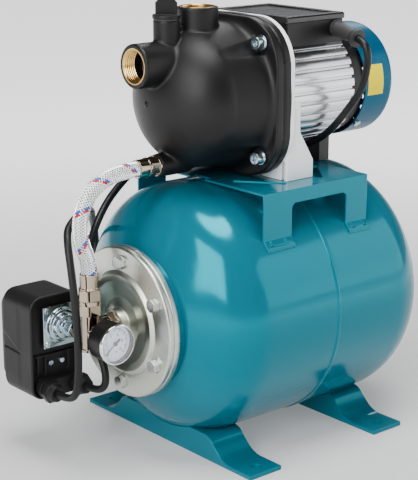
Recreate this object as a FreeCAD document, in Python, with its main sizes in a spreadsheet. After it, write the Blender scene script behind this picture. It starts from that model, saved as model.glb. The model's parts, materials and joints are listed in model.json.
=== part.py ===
import FreeCAD, Part
import math
import os
import re

# Domestic water booster set: a self-priming jet pump with its motor on a platform welded to a
# horizontal pressure vessel, with pressure switch, gauge and hose at the vessel's flange.
# Frame: +Z up, X along the vessel and the pump shaft (suction port and flange towards -X),
# gauge towards -Y, origin on the floor at the middle of the four foot holes.  Millimetres.

V = FreeCAD.Vector
doc = FreeCAD.newDocument("booster_set")
sheet = doc.addObject("Spreadsheet::Sheet", "Sizes")

SIZES = {
    # pressure vessel
    "tank_radius": 135, "tank_wall": 2, "tank_axis_z": 145, "seam_x": 15, "tank_straight": 92,
    "knuckle_radius": 60, "crown_radius": 190, "bead_width": 5, "bead_height": 1.2,
    "mouth_radius": 58, "collar_radius": 76, "collar_front_x": -156,
    # counter flange
    "flange_x": -166, "flange_radius": 79.5, "flange_sheet": 3, "flange_rim_depth": 13,
    "flange_bolt_circle": 64.5, "flange_step_radius": 54, "neck_radius": 15.5, "neck_front_x": -177,
    # feet
    "foot_spacing_x": 180, "foot_hole_y": 123, "foot_width": 43, "foot_half_length": 139,
    "foot_pad": 5, "foot_sheet": 2.5, "foot_hole_radius": 4.75,
    # platform
    "deck_top": 283, "deck_sheet": 2.5, "deck_front_x": -64.5, "deck_length": 148,
    "deck_half_width": 104, "rail_height": 15, "front_leg": 39, "rear_leg": 31,
    # pump
    "shaft_z": 368, "casing_half": 82.5, "casing_corner": 50, "joint_x": -9,
    "casing_flange": 19.5, "bulb_radius": 71.5, "bulb_nose": 54, "bulb_flare": 80, "casing_wall": 5,
    "nose_x": -126,
    "casing_bolt_offset": 59, "suction_z": 407, "suction_face_x": -146.5, "port_radius": 22.5,
    "insert_radius": 18.4, "thread_bore": 15.15, "insert_length": 22,
    "discharge_x": -64, "discharge_top": 461, "filler_x": -104.5, "filler_top": 450,
    "filler_boss_radius": 13.4, "plug_thread_radius": 10.4, "plug_clearance": 0.06,
    "outlet_z": 303, "outlet_face_x": -119, "outlet_boss_radius": 12,
    # motor
    "frame_start_x": 2, "frame_end_x": 105, "frame_radius": 61, "frame_groove": 57.5,
    "shaft_radius": 7.5, "bearing_radius": 17.5, "cover_start_x": 122, "cover_end_x": 168,
    "cover_radius": 61.5, "box_start_x": 7, "box_length": 80, "box_half_width": 58,
    "box_bottom": 418.5, "box_rim": 443, "lid_top": 449.5,
    # front fittings
    "manifold_x": -206, "manifold_z": 145, "side_port_z": 142, "manifold_radius": 9.5,
    "gauge_front_y": -47, "gauge_radius": 21, "gauge_depth": 23,
    "switch_x": -208, "switch_z": 139, "switch_face_y": 50, "cable_radius": 4, "hose_radius": 8.3,
}
for row, (alias, number) in enumerate(SIZES.items(), start=1):
    sheet.set("A%d" % row, alias)
    sheet.set("B%d" % row, str(number))
    sheet.setAlias("B%d" % row, alias)
doc.recompute()

ALIAS = re.compile(r"\b(" + "|".join(sorted(SIZES, key=len, reverse=True)) + r")\b")
TURNS = {
    "Z": FreeCAD.Rotation(),
    "-Z": FreeCAD.Rotation(V(1, 0, 0), 180),
    "X": FreeCAD.Rotation(V(0, 1, 0), 90),
    "-X": FreeCAD.Rotation(V(0, 1, 0), -90),
    "Y": FreeCAD.Rotation(V(1, 0, 0), -90),
    "-Y": FreeCAD.Rotation(V(1, 0, 0), 90),
}
NODES = {}


def size(alias):
    return float(sheet.get(alias))


def bind(piece, prop, formula):
    """Tie a property to the sheet; a formula is a number or an expression in aliases."""
    piece.setExpression(prop, ALIAS.sub(r"Sizes.\1", str(formula)))


def primitive(kind, at, axis, **dims):
    piece = doc.addObject("Part::" + kind, kind)
    turn = TURNS[axis] if isinstance(axis, str) else FreeCAD.Rotation(V(0, 0, 1), V(*axis))
    piece.Placement = FreeCAD.Placement(V(0, 0, 0), turn)
    for prop, formula in dims.items():
        bind(piece, prop, formula)
    for letter, formula in zip("xyz", at):
        if formula != 0:
            bind(piece, "Placement.Base." + letter, formula)
    return piece


def rod(radius, length, at, axis="X"):
    return primitive("Cylinder", at, axis, Radius=radius, Height=length)


def taper(radius1, radius2, length, at, axis="X"):
    return primitive("Cone", at, axis, Radius1=radius1, Radius2=radius2, Height=length)


def block(length, width, height, at):
    return primitive("Box", at, "Z", Length=length, Width=width, Height=height)


def ball(radius, at):
    return primitive("Sphere", at, "Z", Radius=radius)


def egg(radius_x, radius_yz, at):
    return primitive("Ellipsoid", at, "Z", Radius1=radius_yz, Radius2=radius_x, Radius3=radius_yz)


def torus(radius, section, at, axis="X"):
    return primitive("Torus", at, axis, Radius1=radius, Radius2=section)


def hexagon(across_flats, length, at, axis="X"):
    piece = primitive("Prism", at, axis, Circumradius="(%s) / sqrt(3)" % across_flats, Height=length)
    piece.Polygon = 6
    return piece


def fuse(*pieces):
    piece = doc.addObject("Part::MultiFuse", "Fuse")
    piece.Shapes = list(pieces)
    return piece


def cut(base, *tools):
    piece = doc.addObject("Part::Cut", "Cut")
    piece.Base = base
    piece.Tool = tools[0] if len(tools) == 1 else fuse(*tools)
    return piece


def common(first, second):
    piece = doc.addObject("Part::Common", "Common")
    piece.Base = first
    piece.Tool = second
    return piece


def collect(*pieces):
    """Separate solids that share one node."""
    piece = doc.addObject("Part::Compound", "Group")
    piece.Links = list(pieces)
    return piece


def ring(outer, inner, length, at, axis="X"):
    return cut(rod(outer, length, at, axis), rod(inner, length, at, axis))


def outline(plane, level, start, *steps):
    """Closed sketch on plane XZ (at Y = level), YZ (at X = level) or XY (at Z = level).

    A step is the next point, or a pair (middle, end) for an arc.
    """
    sketch = doc.addObject("Sketcher::SketchObject", "Outline")
    turn = {"XZ": FreeCAD.Rotation(V(1, 0, 0), 90), "YZ": FreeCAD.Rotation(V(1, 1, 1), 120),
            "XY": FreeCAD.Rotation()}[plane]
    base = {"XZ": V(0, level, 0), "YZ": V(level, 0, 0), "XY": V(0, 0, level)}[plane]
    sketch.Placement = FreeCAD.Placement(base, turn)
    here = start
    for step in list(steps) + [start]:
        if isinstance(step[0], tuple):
            middle, end = step
            sketch.addGeometry(Part.Arc(V(*here, 0), V(*middle, 0), V(*end, 0)))
        else:
            end = step
            if math.dist(here, end) > 1e-6:
                sketch.addGeometry(Part.LineSegment(V(*here, 0), V(*end, 0)))
        here = end
    return sketch


def spun(sketch, centre_z):
    """Revolve an XZ sketch about the X line at the given height."""
    piece = doc.addObject("Part::Revolution", "Spun")
    piece.Source = sketch
    piece.Axis = V(1, 0, 0)
    piece.Base = V(0, 0, centre_z)
    piece.Angle = 360
    piece.Solid = True
    return piece


def pushed(sketch, direction, length):
    piece = doc.addObject("Part::Extrusion", "Pushed")
    piece.Base = sketch
    piece.DirMode = "Custom"
    piece.Dir = V(*direction)
    piece.Solid = True
    bind(piece, "LengthFwd", length)
    return piece


def placed(piece, spot, turn, offset=(0, 0, 0)):
    """Turn a piece built at the origin, shift it in its own axes and carry it to a spot."""
    base = V(*spot) + turn.multVec(V(*offset))
    piece.Placement = FreeCAD.Placement(base, turn).multiply(piece.Placement)
    return piece


def polar(radius, degrees, centre_y="0", centre_z="0"):
    """Formulas for a point on a circle about an X line, counted from +Z towards -Y."""
    return ("%s - (%s) * sin(%g)" % (centre_y, radius, degrees),
            "%s + (%s) * cos(%g)" % (centre_z, radius, degrees))


def node(label, piece):
    piece.Label = label
    NODES[label] = piece


def fixed_node(label, shape):
    """A sub-part whose shape comes from Part's own functions."""
    piece = doc.addObject("Part::Feature", "Made")
    piece.Shape = shape
    piece.Placement = FreeCAD.Placement(V(0, 0, 0), FreeCAD.Rotation())
    node(label, piece)


# ---------------------------------------------------------------- pressure vessel

def head_solid(side, inset):
    """One dished half of the vessel as a full solid, its walls inset by the given amount."""
    radius = size("tank_radius") - inset
    knuckle = size("knuckle_radius") - inset
    crown = size("crown_radius") - inset
    seam = size("seam_x")
    level = size("tank_axis_z")
    knuckle_r = radius - knuckle
    knuckle_x = size("tank_straight")
    crown_x = knuckle_x - math.sqrt((crown - knuckle) ** 2 - knuckle_r ** 2)
    angle = math.atan2(knuckle_r, knuckle_x - crown_x)

    def at(along, out):
        return (seam + side * along, level + out)

    def on_knuckle(turn):
        return at(knuckle_x + knuckle * math.cos(turn), knuckle_r + knuckle * math.sin(turn))

    def on_crown(turn):
        return at(crown_x + crown * math.cos(turn), crown * math.sin(turn))

    sketch = outline("XZ", 0, at(0, 0), at(0, radius), at(knuckle_x, radius),
                     (on_knuckle((angle + math.pi / 2) / 2), on_knuckle(angle)),
                     (on_crown(angle / 2), on_crown(0)))
    return spun(sketch, level)


def flange_holes(radius, length, start):
    """Rods for the flange's six bolt holes."""
    return [rod(radius, length, (start,) + polar("flange_bolt_circle", 60 * i, "0", "tank_axis_z"))
            for i in range(6)]


def build_tank():
    middle = (0, "tank_axis_z")
    neck = ring("collar_radius", "mouth_radius", "12", ("collar_front_x",) + middle)
    mouth = rod("mouth_radius", 60, ("collar_front_x - 20",) + middle)
    node("tank_front_shell", cut(fuse(head_solid(-1, 0), neck), head_solid(-1, size("tank_wall")), mouth,
                                 *flange_holes(4, 40, "collar_front_x - 10")))
    valve_hole = rod(4.5, 40, (170,) + middle)
    node("tank_rear_shell", cut(head_solid(1, 0), head_solid(1, size("tank_wall")), valve_hole))
    node("tank_weld_seam", ring("tank_radius + bead_height", "tank_radius", "bead_width",
                                ("seam_x - bead_width / 2",) + middle))


def build_flange():
    level = size("tank_axis_z")
    face, sheet_t = size("flange_x"), size("flange_sheet")
    outer, rim = size("flange_radius"), size("flange_rim_depth")
    step, neck = size("flange_step_radius"), size("neck_radius")
    neck_x = size("neck_front_x")
    bore = neck - 3

    def at(x, out):
        return (x, level + out)

    sketch = outline(
        "XZ", 0, at(neck_x, bore), at(neck_x, neck), at(face + 2, neck + 0.8), at(face + 1, neck + 6),
        at(face - 3.5, step - 8), at(face - 3.5, step - 2.5), at(face, step + 0.5), at(face, outer - 2),
        (at(face + 0.6, outer - 0.6), at(face + 2, outer)), at(face + rim, outer),
        at(face + rim, outer - sheet_t), at(face + sheet_t, outer - sheet_t),
        at(face + sheet_t, step + 2), at(face, step - 3), at(face, step - 8),
        at(face + sheet_t + 1.5, neck + 6), at(face + sheet_t + 1.5, bore))
    node("tank_flange", cut(spun(sketch, level), *flange_holes(4.3, 12, "flange_x - 5")))

    bolts = []
    for i in range(6):
        spot = polar("flange_bolt_circle", 60 * i, "0", "tank_axis_z")
        bolts.append(fuse(rod(4, 26, ("flange_x",) + spot),
                          rod(7.2, 1.2, ("flange_x - 1.2",) + spot),
                          hexagon(12.4, 5.4, ("flange_x - 6.6",) + spot)))
    node("flange_bolts", collect(*bolts))


def build_membrane():
    level = size("tank_axis_z")
    lip_x = size("flange_x") + size("flange_sheet")
    collar = size("collar_front_x")
    mouth = size("mouth_radius") - 1

    def at(x, out):
        return (x, level + out)

    sketch = outline("XZ", 0, at(lip_x, 30), at(lip_x, 76), at(collar, 76), at(collar, mouth),
                     at(-135, mouth), at(-100, 96), at(-60, 108), at(80, 108), at(140, 70), at(158, 0),
                     at(154, 0), at(137, 67), at(78, 105), at(-59, 105), at(-99, 93), at(-132, mouth - 3),
                     at(collar + 2, mouth - 3), at(collar + 2, 30))
    node("membrane", cut(spun(sketch, level), *flange_holes(4.3, 30, "flange_x - 5")))


def build_air_valve():
    middle = (0, "tank_axis_z")
    node("air_valve_body", cut(
        fuse(rod(4.5, 22, (186,) + middle), rod(9, 4, (191.5,) + middle)),
        rod(2.2, 30, (184,) + middle), rod(3, 6, (203,) + middle)))
    node("air_valve_pin", fuse(rod(1, 18, (188,) + middle), rod(1.9, 2, (192,) + middle)))
    node("air_valve_cap", cut(rod(6.5, 15, (196,) + middle), rod(4.55, 13, (196,) + middle)))


def foot(centre, head):
    """A pressed saddle: a channel across the vessel, open below, with flat ends on the floor."""
    half, pad = size("foot_half_length"), size("foot_pad")
    sheet_t = size("foot_sheet")

    def skin(end, low, pad_end, bend, slope_low, slope_high, shoulder, crest):
        return outline("YZ", 0, (-end, low), (-end, pad_end[1]), (-pad_end[0], pad_end[1]),
                       ((-bend[0], bend[1]), (-slope_low[0], slope_low[1])), (-slope_high[0], slope_high[1]),
                       ((-shoulder[0], shoulder[1]), (-crest[0], crest[1])), crest,
                       (shoulder, slope_high), slope_low, (bend, pad_end), (end, pad_end[1]), (end, low))

    def bar(sketch, inset):
        solid = pushed(sketch, (1, 0, 0), "foot_width - %g" % (2 * inset))
        bind(solid, "Placement.Base.x", "%s - foot_width / 2 + %g" % (centre, inset))
        return solid

    outside = skin(half, 0, (106, pad), (97.5, 7), (90.3, 11), (80, 20.5), (74.5, 25.8), (67.5, 28))
    inside = skin(103, -10, (102.9, 2.5), (95.9, 4.7), (88.6, 9.2), (78.3, 18.7), (73.3, 23.5), (67, 25.5))
    holes = [rod("foot_hole_radius", 30, (centre, "%d * foot_hole_y" % side, -5), "Z") for side in (-1, 1)]
    return cut(cut(bar(outside, 0), head_solid(head, 0)),
               cut(bar(inside, sheet_t), head_solid(head, -sheet_t)), *holes)


def build_feet():
    node("front_foot", foot("-foot_spacing_x / 2", -1))
    node("rear_foot", foot("foot_spacing_x / 2", 1))


def build_platform():
    half, sheet_t, top = size("deck_half_width"), size("deck_sheet"), size("deck_top")
    low = size("tank_axis_z") + math.sqrt(size("tank_radius") ** 2 - half ** 2)
    leg_foot = low - 4
    corner_z = "deck_top - rail_height - 6"
    deck = [block("deck_length", "2 * deck_half_width", "deck_sheet",
                  ("deck_front_x", "-deck_half_width", "deck_top - deck_sheet"))]
    pads, cuts = [], []
    legs = (("front_leg", "deck_front_x"), ("rear_leg", "deck_front_x + deck_length - rear_leg"))
    pad_width, dot_turn = 8.5, 50.8
    for side in (-1, 1):
        inner = "-deck_half_width" if side < 0 else "deck_half_width - deck_sheet"
        pad_y = half - sheet_t if side > 0 else sheet_t - half - pad_width
        deck.append(block("deck_length", "deck_sheet", "rail_height",
                          ("deck_front_x", inner, "deck_top - rail_height")))
        dot_spot = polar("tank_radius + deck_sheet - 1", -side * dot_turn, "0", "tank_axis_z")
        dot_axis = (0, side * math.sin(math.radians(dot_turn)), math.cos(math.radians(dot_turn)))
        for width, start in legs:
            deck.append(block(width, "deck_sheet", top - leg_foot, (start, inner, leg_foot)))
            inside = "%s + %s" % (start, width) if start == "deck_front_x" else "%s - 6" % start
            eye = "%s + 6" % inside if start == "deck_front_x" else inside
            gusset = block(6, "deck_sheet", 6, (inside, inner, corner_z))
            deck.append(cut(gusset, rod(6, 20, (eye, "%s - 5" % inner, corner_z), "Y")))
            strip = ring("tank_radius + deck_sheet", "tank_radius", width, (start, 0, "tank_axis_z"))
            pads.append(common(strip, block(width, pad_width, 34, (start, pad_y, low - 24))))
            for share in (0.25, 0.75):
                dot_x = "%s + %s * %g" % (start, width, share)
                pads.append(taper(3.4, 2.4, 1.8, (dot_x,) + dot_spot, dot_axis))
    for end in (-1, 1):
        for side in (-1, 1):
            turn = FreeCAD.Rotation(V(0, 0, 1), 38 * end * side)
            middle = (9.5 + end * 41, side * 60, top - 6)
            cuts.append(placed(block(8.5, 56, 10, (0, 0, 0)), middle, turn, (-4.25, -28, 0)))
    cuts += [rod(4.5, 20, (12, 56 * side, "deck_top - 10"), "Z") for side in (-1, 1)]
    cuts.append(block(9, 24, 20, ("deck_front_x - 1", -12, "deck_top - 10")))
    cuts.append(rod("tank_radius", 200, (-90, 0, "tank_axis_z")))
    cuts.append(rod("tank_radius + bead_height", "bead_width", ("seam_x - bead_width / 2", 0, "tank_axis_z")))
    node("platform", cut(fuse(*deck, *pads), *cuts))


# ---------------------------------------------------------------- pump head

def rounded_square(half, corner, start, depth):
    """A plate square to the shaft, centred on it, with round corners."""
    reach = "(%s - %s)" % (half, corner)
    pieces = [
        block(depth, "2 * %s" % half, "2 * %s" % reach, (start, "-%s" % half, "shaft_z - %s" % reach)),
        block(depth, "2 * %s" % reach, "2 * %s" % half, (start, "-%s" % reach, "shaft_z - %s" % half))]
    for side in (-1, 1):
        for level in (-1, 1):
            pieces.append(rod(corner, depth, (start, "%d * %s" % (side, reach),
                                              "shaft_z + %d * %s" % (level, reach))))
    return fuse(*pieces)


def casing_corners():
    return [("%d * casing_bolt_offset" % side, "shaft_z + %d * casing_bolt_offset" % level)
            for side in (-1, 1) for level in (-1, 1)]


def bulb(inset, rear):
    """The pump's bowl: slightly flared behind, a half ellipsoid in front."""
    middle = ("nose_x + bulb_nose", 0, "shaft_z")
    return fuse(egg("bulb_nose - %g" % inset, "bulb_radius - %g" % inset, middle),
                taper("bulb_radius - %g" % inset, rear, "joint_x - nose_x - bulb_nose", middle))


def build_casing():
    suction = ("suction_face_x", 0, "suction_z")
    outlet = ("outlet_face_x", 0, "outlet_z")
    body = [
        rounded_square("casing_half", "casing_corner", "joint_x - casing_flange", "casing_flange"),
        bulb(0, "bulb_flare"),
        rod("port_radius", 70, suction),
        rod("filler_boss_radius", 40, ("filler_x", 0, "filler_top - 40"), "Z"),
        rod("port_radius - 1", 50, ("discharge_x", 0, "discharge_top - 50"), "Z"),
        block(24, 4, 20, ("filler_x + 8", -2, "filler_top - 26")),
        rod("outlet_boss_radius", 50, outlet),
    ]
    corners = casing_corners()
    hollow = [
        bulb(size("casing_wall"), 71),
        rod("insert_radius", "insert_length", suction),
        rod(13.5, 60, suction),
        rod("plug_thread_radius + plug_clearance", 40, ("filler_x", 0, "filler_top - 38"), "Z"),
        rod("insert_radius", "insert_length", ("discharge_x", 0, "discharge_top - insert_length"), "Z"),
        rod(13.5, 60, ("discharge_x", 0, "discharge_top - 60"), "Z"),
        rod(8, 60, outlet),
        rod(11, 30, ("outlet_face_x - 30", 0, "outlet_z")),
        torus(77.5, 1.5, ("joint_x", 0, "shaft_z")),
        rod(75, 30, ("joint_x", 0, "shaft_z")),
    ]
    for spot in corners:
        hollow.append(rod(4.4, 60, ("joint_x - 40",) + spot))
        hollow.append(rod(10.5, 45, ("joint_x - casing_flange - 45",) + spot))
    groove_x = "joint_x - casing_flange / 2 - 0.8"
    groove = cut(rounded_square("casing_half + 1", "casing_corner + 1", groove_x, 1.6),
                 rounded_square("casing_half - 1", "casing_corner - 1", groove_x, 1.6))
    node("pump_casing", cut(fuse(*body), groove, *hollow))

    node("suction_insert", ring("insert_radius", "thread_bore", "insert_length", suction))
    node("discharge_insert", ring("insert_radius", "thread_bore", "insert_length + 0.6",
                                  ("discharge_x", 0, "discharge_top - insert_length"), "Z"))
    bolts = []
    for spot in corners:
        screw = fuse(rod(4, 32, ("joint_x - casing_flange",) + spot),
                     rod(8, 1.6, ("joint_x - casing_flange - 1.6",) + spot),
                     rod(6.5, 8, ("joint_x - casing_flange - 9.6",) + spot))
        bolts.append(cut(screw, hexagon(6, 5, ("joint_x - casing_flange - 9.6",) + spot)))
    node("casing_bolts", collect(*bolts))
    node("casing_seal", common(torus(77.5, 1.5, ("joint_x", 0, "shaft_z")),
                               rod(90, 3, ("joint_x - 3", 0, "shaft_z"))))


def build_ejector():
    start = ("suction_face_x + 26", 0, "suction_z")
    nozzle = cut(fuse(rod(13.3, 6, start), taper(11, 5, 22, ("suction_face_x + 32", 0, "suction_z"))),
                 taper(9, 3, 28.2, ("suction_face_x + 25.9", 0, "suction_z")))
    diffuser = cut(taper(8, 14, 56, ("suction_face_x + 58", 0, "suction_z - 4")),
                   taper(5, 11, 56.2, ("suction_face_x + 57.9", 0, "suction_z - 4")))
    node("ejector", collect(nozzle, diffuser))


def build_filler_plug():
    node("filler_seal", ring(13.2, "plug_thread_radius + 0.1", 1.6, ("filler_x", 0, "filler_top"), "Z"))
    turn = FreeCAD.Rotation(V(0, 0, 1), -34)
    seat = (size("filler_x"), 0, size("filler_top") + 5.4)
    wing = placed(block(22, 5.5, 12.5, (0, 0, 0)), seat, turn, (-11, -2.75, 0))
    top = placed(rod(11, 5.5, (0, 0, 0), "Y"), seat, turn, (0, -2.75, 8))
    node("filler_plug", fuse(
        rod("plug_thread_radius", 22, ("filler_x", 0, "filler_top - 20.4"), "Z"),
        rod(14.2, 4, ("filler_x", 0, "filler_top + 1.6"), "Z"), wing, top))


BEARING_STARTS = (3, 107)
BEARING_WIDTH = 11
BALLS = 7
FAN_BLADES = 7


def build_rotor():
    level = (0, "shaft_z")
    races = [ring(10.4, "shaft_radius", BEARING_WIDTH, (x,) + level) for x in BEARING_STARTS]
    node("motor_shaft", collect(
        fuse(rod("shaft_radius", 165, (-15,) + level), rod(6, 22, (-36,) + level)), *races))
    vanes = []
    for i in range(6):
        vane = outline("XY", 0, (17, -1.2), ((35, 9), (51, 29)), (49, 31), ((33, 11.5), (16, 1.4)))
        turn = FreeCAD.Rotation(V(1, 0, 0), 60 * i) * TURNS["X"]
        vanes.append(placed(pushed(vane, (0, 0, 1), 7), (-26, 0, size("shaft_z")), turn))
    impeller = fuse(rod(60, 3, (-19.5,) + level), ring(60, 22, 2.5, (-28,) + level),
                    rod(14, 12, (-28.5,) + level), *vanes)
    node("impeller", collect(cut(impeller, rod(6, 40, (-40,) + level)),
                             ring(13, "shaft_radius", 6.5, (-14.9,) + level)))
    node("impeller_nut", cut(hexagon(18, 6, (-34.6,) + level), rod(6, 40, (-45,) + level)))
    node("seal_seat", ring(15, 8.2, 6, (-8.3,) + level))
    node("rotor_core", cut(rod(29.6, 60, (25,) + level), rod("shaft_radius", 80, (15,) + level)))
    blades = [rod(16, 20, (130,) + level), rod(47, 1.6, (130,) + level)]
    for i in range(FAN_BLADES):
        turn = FreeCAD.Rotation(V(1, 0, 0), 360 / FAN_BLADES * i)
        blades.append(placed(block(18, 1.6, 32, (0, 0, 0)), (132, 0, size("shaft_z")), turn, (0, -0.8, 14)))
    node("fan", cut(fuse(*blades), rod("shaft_radius", 60, (110,) + level)))


def build_bearings():
    level = (0, "shaft_z")
    outer = [ring("bearing_radius", 14.6, BEARING_WIDTH, (x,) + level) for x in BEARING_STARTS]
    balls = [ball(1.8, (x + BEARING_WIDTH / 2,) + polar(12.5, 360 / BALLS * i, "0", "shaft_z"))
             for x in BEARING_STARTS for i in range(BALLS)]
    node("bearing_outer_rings", collect(*outer))
    node("bearing_balls", collect(*balls))


def build_bracket():
    level = (0, "shaft_z")
    plate = rounded_square("casing_half", "casing_corner", "joint_x", 5)
    body = [plate, rod("frame_groove - 4", 7, ("joint_x + 4",) + level),
            rod(24, 24, ("joint_x",) + level)]
    for side in (-1, 1):
        wall = -77 if side < 0 else 71
        base = -77 if side < 0 else 36
        side_view = outline("XZ", wall + 6, (-4, 283), (29, 283), (29, 302), (10, 333), (10, 366), (-4, 366))
        web = pushed(side_view, (0, -1, 0), 6)
        bind(web, "Placement.Base.z", "deck_top - 283")
        body.append(web)
        body.append(block(37, 41, 9, (-8, base, "deck_top")))
        body.append(block(5, 41, 40, (-8, base, "deck_top")))
    holes = [rod("bearing_radius", 60, (3,) + level), rod(15, 8, ("joint_x - 1",) + level),
             rod(9.5, 80, (-20,) + level)]
    holes += [rod(4.25, 30, (12, 56 * side, "deck_top - 5"), "Z") for side in (-1, 1)]
    holes += [rod(4, 60, (-30,) + spot) for spot in casing_corners()]
    holes.append(block(20, 4, 20, (-10, -72, "deck_top")))
    node("motor_bracket", cut(fuse(*body), *holes))

    bolts = []
    for side in (-1, 1):
        spot = (12, 56 * side)
        bolts.append(fuse(rod(4, 24, spot + ("deck_top - 10",), "Z"),
                          hexagon(13, 5.3, spot + ("deck_top + 9",), "Z"),
                          hexagon(13, 6.5, spot + ("deck_top - deck_sheet - 6.5",), "Z")))
    node("foot_bolts", collect(*bolts))


def build_motor():
    level = (0, "shaft_z")
    length = "frame_end_x - frame_start_x"
    fins = 32
    ribs = []
    for i in range(fins):
        profile = outline("YZ", 0, (-4.3, 54), (-4.3, 60.3), ((0, 61), (4.3, 60.3)), (4.3, 54))
        turn = FreeCAD.Rotation(V(1, 0, 0), 360 / fins * (i + 0.5))
        start = (size("frame_start_x"), 0, size("shaft_z"))
        ribs.append(placed(pushed(profile, (1, 0, 0), length), start, turn))
    frame = cut(fuse(rod("frame_groove", length, ("frame_start_x",) + level), *ribs),
                rod(51.5, 200, (-40,) + level))
    node("motor_frame", frame)
    node("stator_core", ring(51.5, 30, 60, (25,) + level))
    windings = [ring(48, 33, 9, (15.5,) + level), ring(48, 33, 12, (85.5,) + level)]
    node("stator_windings", collect(*windings))
    shield = fuse(ring(58, 50, 17, ("frame_end_x",) + level),
                  rod(51.5, 6, ("frame_end_x - 4",) + level),
                  rod(23, 16, ("frame_end_x - 2",) + level))
    node("motor_end_shield", cut(shield, rod("bearing_radius", 11, (107,) + level),
                                 rod(9, 40, (95,) + level)))


def build_fan_cover():
    level = size("shaft_z")
    start, end = size("cover_start_x"), size("cover_end_x")
    radius, wall, corner = size("cover_radius"), 1.6, 9

    def shell(inset):
        bend = corner - inset
        mid = (end - corner + bend * math.sqrt(0.5), level + radius - corner + bend * math.sqrt(0.5))
        return spun(outline("XZ", 0, (start - inset, level), (start - inset, level + radius - inset),
                            (end - corner, level + radius - inset),
                            (mid, (end - inset, level + radius - corner)), (end - inset, level)), level)

    slots = []
    for count, distance in ((6, 14), (12, 26), (18, 38)):
        for i in range(count):
            spot = polar(distance, 360 / count * i, "0", "shaft_z")
            slots.append(rod(3, 20, ("cover_end_x - 10",) + spot))
    screw_turns = (45, 135, 225, 315)
    screw_spots = [polar("cover_radius - 6", turn, "0", "shaft_z") for turn in screw_turns]
    outs = [(0, -math.sin(math.radians(turn)), math.cos(math.radians(turn))) for turn in screw_turns]
    holes = [rod(2, 12, ("cover_start_x + 5",) + spot, out) for spot, out in zip(screw_spots, outs)]
    node("fan_cover", cut(shell(0), shell(wall), *slots, *holes))
    screws = []
    for turn, spot, out in zip(screw_turns, screw_spots, outs):
        head_spot = polar("cover_radius + 0.1", turn, "0", "shaft_z")
        screws.append(fuse(rod(2, 7, ("cover_start_x + 5",) + spot, out),
                           rod(4.2, 2.6, ("cover_start_x + 5",) + head_spot, out)))
    node("fan_cover_screws", collect(*screws))


BOOT_X, BOOT_Z = 77, 433.5
BOOT_SLOPE = (-4, -38, -8)


def build_terminal_box():
    size_y = "2 * box_half_width"
    body = block("box_length", size_y, "box_rim - box_bottom",
                 ("box_start_x", "-box_half_width", "box_bottom"))
    hollow = block("box_length - 6", size_y + " - 6", "box_rim - box_bottom",
                   ("box_start_x + 3", "3 - box_half_width", "box_bottom + 3"))
    saddle = rod("frame_radius + 0.2", 120, (-5, 0, "shaft_z"))
    arch = ring("frame_radius + 3.2", "frame_radius + 0.2", "box_length", ("box_start_x", 0, "shaft_z"))
    floor = common(arch, block("box_length", size_y, 40, ("box_start_x", "-box_half_width", "box_bottom")))
    cable_hole = rod(5, 12, (BOOT_X, "5 - box_half_width", BOOT_Z), "-Y")
    node("terminal_box", cut(fuse(cut(body, hollow), floor), saddle, cable_hole))

    lid = block("box_length + 3", size_y + " + 3", "lid_top - box_rim",
                ("box_start_x - 1.5", "-box_half_width - 1.5", "box_rim"))
    recess = block("box_length - 17", size_y + " - 17", 2,
                   ("box_start_x + 8.5", "8.5 - box_half_width", "lid_top - 1.2"))
    inside = block("box_length - 6", size_y + " - 6", 3.5,
                   ("box_start_x + 3", "3 - box_half_width", "box_rim - 0.5"))
    turn = FreeCAD.Rotation(V(1, 0, 0), 45)
    edges = []
    for side in (-1, 1):
        corner = (size("box_start_x") - 10, side * (size("box_half_width") + 3.5), size("lid_top") + 2)
        edges.append(placed(block("box_length + 20", 8, 8, (0, 0, 0)), corner, turn, (0, -4, -4)))
    node("terminal_box_lid", cut(lid, recess, inside, *edges))

    tip = V(*BOOT_SLOPE)
    tip.normalize()
    start = V(BOOT_X, -size("box_half_width"), BOOT_Z)
    axis = (tip.x, tip.y, tip.z)

    def along(distance):
        spot = start + tip * distance
        return (spot.x, spot.y, spot.z)

    boot = fuse(rod(9, 4, (BOOT_X, "-box_half_width", BOOT_Z), "-Y"), taper(8.4, 7, 30, along(0), axis),
                taper(7, 9.6, 5, along(29), axis), rod(9.6, 3.5, along(34), axis))
    wall_side = block(60, 30, 60, (50, "-box_half_width", 400))
    node("cable_boot", cut(boot, rod("cable_radius", 60, along(-10), axis), wall_side))
    node("motor_rubber_foot", cut(block(15, 28, 34, (100, -14, 280)),
                                  rod("frame_radius + 0.1", 60, (90, 0, "shaft_z")),
                                  rod("tank_radius + 0.1", 60, (80, 0, "tank_axis_z"))))


# ---------------------------------------------------------------- front fittings

def build_manifold():
    x, z = "manifold_x", "manifold_z"
    body = [
        rod("manifold_radius", 49, (x, 0, 124), "Z"),
        hexagon(21, 11, (x, 0, 162), "Z"),
        rod("manifold_radius + 1.2", 3, (x, 0, 124), "Z"),
        rod("manifold_radius", 26, (x, 0, z)),
        hexagon(25, 9, ("neck_front_x - 9.2", 0, z)),
        rod(12.4, 9, ("neck_front_x - 0.3", 0, z)),
        rod(7.5, 20, (x, 0, "side_port_z"), "-Y"),
        rod(7.5, "switch_face_y - 26", (x, 0, "side_port_z"), "Y"),
        hexagon(17, 6, (x, -12, "side_port_z"), "-Y"),
        hexagon(17, 6, (x, 12, "side_port_z"), "Y"),
    ]
    bores = [rod(6.5, 60, (x, 0, 128), "Z"), rod(8, 60, (x, 0, z)),
             rod(4.6, 60, (x, -30, "side_port_z"), "Y")]
    node("five_way_fitting", cut(fuse(*body), *bores))


HOSE_ROUTE = [(-145, 0, 303), (-160, 0, 303), (-176, 0, 301), (-191, 0, 295.5), (-204, 0, 286),
              (-213, 0, 271),
              (-216, 0, 253), (-214, 0, 236), (-208, 0, 223), (-206, 0, 213), (-206, 0, 205)]


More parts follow.
